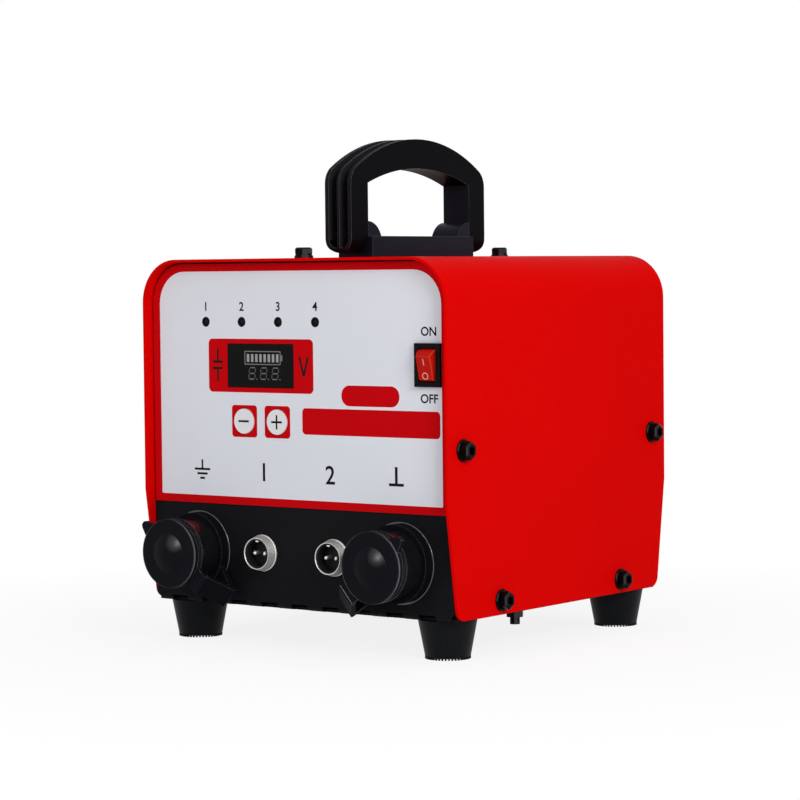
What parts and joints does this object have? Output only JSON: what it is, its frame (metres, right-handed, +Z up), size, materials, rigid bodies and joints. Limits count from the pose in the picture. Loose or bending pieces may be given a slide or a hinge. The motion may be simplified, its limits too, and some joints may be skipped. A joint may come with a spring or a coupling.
{
  "type": "portable stud welder",
  "caption": "Battery stud welder in a bent-sheet case with carry handle, rubber feet, display, press keys, rocker switch and capped power sockets for earth lead and weld gun.",
  "frame": {"origin": "middle of the bounding box, on the ground under the four feet", "axes": "+X is the machine's right side seen from the front, -Y is the front with the sockets and the panel, +Z is up"},
  "size_m": [0.2036, 0.2178, 0.2563],
  "materials": {
    "red_paint": "fine powder coat",
    "black_paint": "fine powder coat",
    "overlay_print": "printed film",
    "dark_lens": "smoked clear plastic",
    "lamp_lens": "tinted lens",
    "key_plastic": "moulded",
    "switch_black": "moulded",
    "rocker_red": "clear tinted plastic",
    "socket_plastic": "moulded",
    "black_plastic": "moulded",
    "cap_rubber": "moulded rubber",
    "foot_rubber": "moulded rubber",
    "handle_plastic": "fine moulded grain",
    "black_screw": "black oxide",
    "zinc_steel": "zinc plated",
    "nickel": "nickel plated",
    "brass": "turned",
    "copper": "rolled bar",
    "circuit_board": "solder mask",
    "cell_wrap": "shrink sleeve",
    "aluminium": "mill finish"
  },
  "bodies": {
    "case": {"cover": "red_paint", "chassis": "black_paint", "front_overlay": "overlay_print", "display_window": "dark_lens", "display_module": "black_plastic", "indicator_lamps": "lamp_lens", "key_switches": "black_plastic", "control_board": "circuit_board", "board_standoffs": "zinc_steel", "board_screws": "zinc_steel", "rocker_housing": "switch_black", "rocker_terminals": "brass", "left_socket_body": "socket_plastic", "right_socket_body": "socket_plastic", "left_contact": "brass", "right_contact": "brass", "socket_washers": "black_plastic", "socket_nuts": "brass", "earth_busbar": "copper", "gun_busbar": "copper", "left_cap_ring": "cap_rubber", "right_cap_ring": "cap_rubber", "left_control_socket": "nickel", "right_control_socket": "nickel", "control_inserts": "black_plastic", "control_pins": "nickel", "control_nuts": "zinc_steel", "handle": "handle_plastic", "handle_base": "handle_plastic", "handle_screws": "zinc_steel", "handle_base_screws": "zinc_steel", "side_screws": "black_screw", "top_screws": "black_screw", "clinch_nuts": "zinc_steel", "foot_front_left": "foot_rubber", "foot_front_right": "foot_rubber", "foot_rear_left": "foot_rubber", "foot_rear_right": "foot_rubber", "foot_screws": "zinc_steel", "foot_nuts": "zinc_steel", "battery_cells": "cell_wrap", "lower_cell_holder": "black_plastic", "upper_cell_holder": "black_plastic", "cell_links": "nickel", "battery_leads": "copper", "shelf": "aluminium", "shelf_bolts": "black_screw", "shelf_nuts": "black_screw", "power_board": "circuit_board", "board_posts": "zinc_steel", "power_transistors": "black_plastic", "heat_sink": "aluminium", "charge_socket": "nickel", "charge_nut": "zinc_steel"},
    "rocker": {"rocker": "rocker_red"},
    "minus_key": {"minus_key": "key_plastic"},
    "plus_key": {"plus_key": "key_plastic"},
    "left_cap": {"left_cap": "cap_rubber"},
    "right_cap": {"right_cap": "cap_rubber"}
  },
  "joints": [
    {"name": "rocker_hinge", "type": "hinge", "parent": "case", "child": "rocker", "pos_m": [0.0823, -0.0801, 0.143], "axis": [-1, 0, 0], "range_deg": [0, 26]},
    {"name": "minus_key_press", "type": "slide", "parent": "case", "child": "minus_key", "axis": [0, 1, 0], "range_m": [0, 0.0006], "stiffness_N_per_m": 400},
    {"name": "plus_key_press", "type": "slide", "parent": "case", "child": "plus_key", "axis": [0, 1, 0], "range_m": [0, 0.0006], "stiffness_N_per_m": 400},
    {"name": "left_cap_hinge", "type": "hinge", "parent": "case", "child": "left_cap", "pos_m": [-0.04696, -0.1021, 0.03234], "axis": [0.6428, 0, 0.766], "range_deg": [0, 120]},
    {"name": "right_cap_hinge", "type": "hinge", "parent": "case", "child": "right_cap", "pos_m": [0.04696, -0.1021, 0.03234], "axis": [0.6428, 0, -0.766], "range_deg": [0, 120]}
  ]
}
